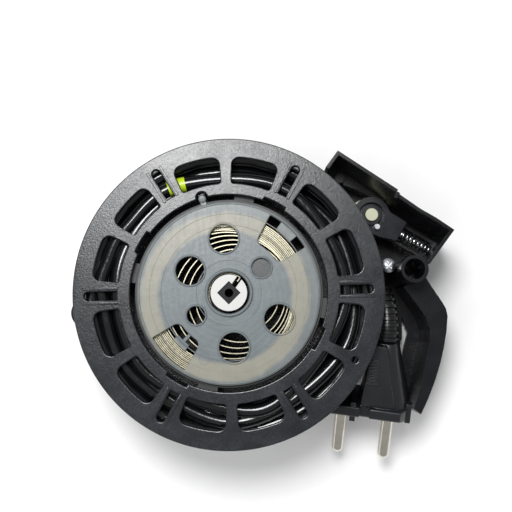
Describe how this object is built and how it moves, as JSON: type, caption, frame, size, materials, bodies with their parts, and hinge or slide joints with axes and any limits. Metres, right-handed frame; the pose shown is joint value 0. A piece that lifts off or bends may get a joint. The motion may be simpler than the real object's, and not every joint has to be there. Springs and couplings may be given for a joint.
{
  "type": "vacuum cleaner cord rewind reel",
  "caption": "Spring-driven mains cord rewind reel on a carrier plate, with a roller brake, slip rings and a parked two-pin plug.",
  "frame": {"origin": "the reel's axis at the face the carrier rests on", "axes": "+Z along the reel's axis from the carrier to the spring side, +X towards the brake and the cord outlet, +Y towards the brake tray"},
  "size_m": [0.1587, 0.1269, 0.0504],
  "materials": {
    "frame_plastic": "moulded, fine texture",
    "axle_plastic": "moulded",
    "flange_plastic": "moulded, fine grain",
    "white_nylon": "smooth",
    "ring_carrier_plastic": "moulded",
    "cup_plastic": "moulded",
    "cover_plastic": "translucent, smooth",
    "spring_strip": "lacquered strip",
    "bright_steel": "bright",
    "screw_steel": "zinc plated",
    "contact_brass": "stamped",
    "lever_plastic": "moulded",
    "roller_nylon": "smooth",
    "cord_sheath": "glossy",
    "core_insulation": "smooth",
    "marker_film": "film",
    "plug_plastic": "moulded, fine texture",
    "relief_rubber": "moulded",
    "pin_nickel": "nickel plated"
  },
  "bodies": {
    "frame": {"carrier": "frame_plastic", "axle": "axle_plastic", "arbor": "white_nylon", "brake_tray": "frame_plastic", "brake_bay": "frame_plastic", "lever_rails": "frame_plastic", "screw_tower": "frame_plastic", "guide_arm": "frame_plastic", "cord_guide_wall": "frame_plastic", "tower_screw": "screw_steel", "contact_block": "axle_plastic", "line_contact": "contact_brass", "neutral_contact": "contact_brass", "block_screws": "screw_steel", "thrust_washer": "white_nylon", "cord_lead": "cord_sheath", "strain_relief": "relief_rubber", "plug_body": "plug_plastic", "plug_pins": "pin_nickel"},
    "reel": {"front_flange": "flange_plastic", "drum": "flange_plastic", "rear_flange": "flange_plastic", "slip_ring_carrier": "ring_carrier_plastic", "outer_slip_ring": "contact_brass", "inner_slip_ring": "contact_brass", "reel_screws": "screw_steel", "cord_clamp": "axle_plastic", "clamp_screws": "screw_steel", "cord_tail": "cord_sheath", "core_leads": "core_insulation", "spring_cup": "cup_plastic", "spring_cover": "cover_plastic", "mainspring": "spring_strip", "spring_clip": "bright_steel", "cord_pack": "cord_sheath", "marker_tape": "marker_film"},
    "brake_lever": {"brake_lever": "lever_plastic", "lever_pin": "bright_steel", "brake_spring": "bright_steel"},
    "brake_roller": {"brake_roller": "roller_nylon"}
  },
  "joints": [
    {"name": "reel_spin", "type": "hinge", "parent": "frame", "child": "reel", "pos_m": [0, 0, 0], "axis": [0, 0, 1], "continuous": true, "deforming": ["mainspring"]},
    {"name": "brake_slide", "type": "slide", "parent": "frame", "child": "brake_lever", "axis": [0.866, -0.5, 0], "range_m": [0, 0.005], "stiffness_N_per_m": 600, "springref_m": -0.004, "deforming": ["brake_spring"]},
    {"name": "roller_spin", "type": "hinge", "parent": "brake_lever", "child": "brake_roller", "pos_m": [0.05831, 0.0334, 0.022], "axis": [0, 0, 1], "continuous": true}
  ],
  "couplings": [
    {"joint": "roller_spin", "follows": "reel_spin", "ratio": -6.8823}
  ]
}
